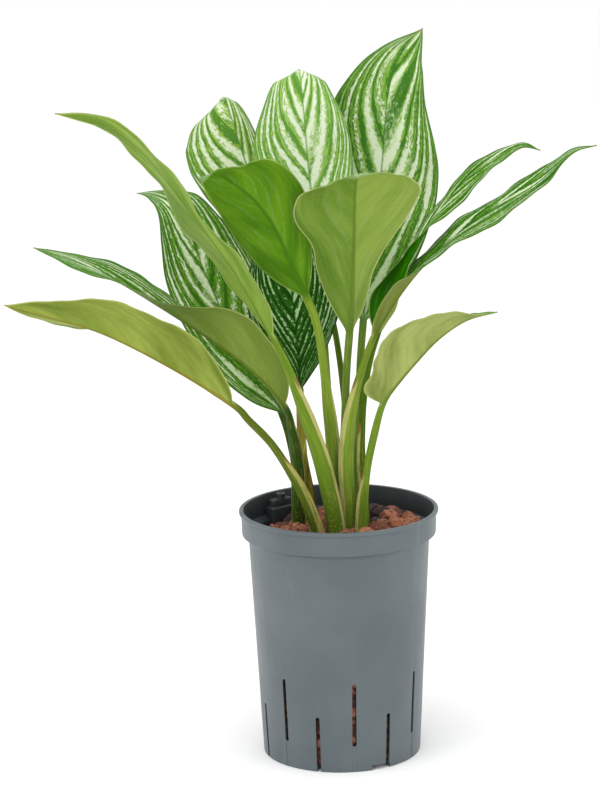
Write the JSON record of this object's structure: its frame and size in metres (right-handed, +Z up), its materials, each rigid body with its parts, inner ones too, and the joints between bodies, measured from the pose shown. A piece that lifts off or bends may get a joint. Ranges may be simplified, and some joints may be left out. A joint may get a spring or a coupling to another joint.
{
  "type": "potted striped aglaonema house plant",
  "caption": "Bushy aroid house plant with long striped, waved leaves on sheathed stalks, rooted in clay granules in a tall grey slotted grower's pot.",
  "frame": {"origin": "on the pot's axis, on the surface that the pot stands on", "axes": "+Z up along the pot's axis; -Y is the front, from where the picture looks, with +X to its right"},
  "size_m": [0.4335, 0.271, 0.5403],
  "materials": {
    "pot_plastic": "satin grey moulded plastic",
    "clay_granules": "dry porous fired clay",
    "cane": "dull green-brown cane",
    "leaf": "leathery leaf, soft sheen, cream and green stripes above, plain olive below"
  },
  "bodies": {
    "root": {"pot": "pot_plastic", "clay_granules": "clay_granules", "cane_front": "cane", "cane_back": "cane", "leaf_01": "leaf", "leaf_02": "leaf", "leaf_03": "leaf", "leaf_04": "leaf", "leaf_05": "leaf", "leaf_06": "leaf", "leaf_07": "leaf", "leaf_08": "leaf", "leaf_09": "leaf", "leaf_10": "leaf", "leaf_11": "leaf", "leaf_12": "leaf", "leaf_13": "leaf"}
  },
  "joints": []
}
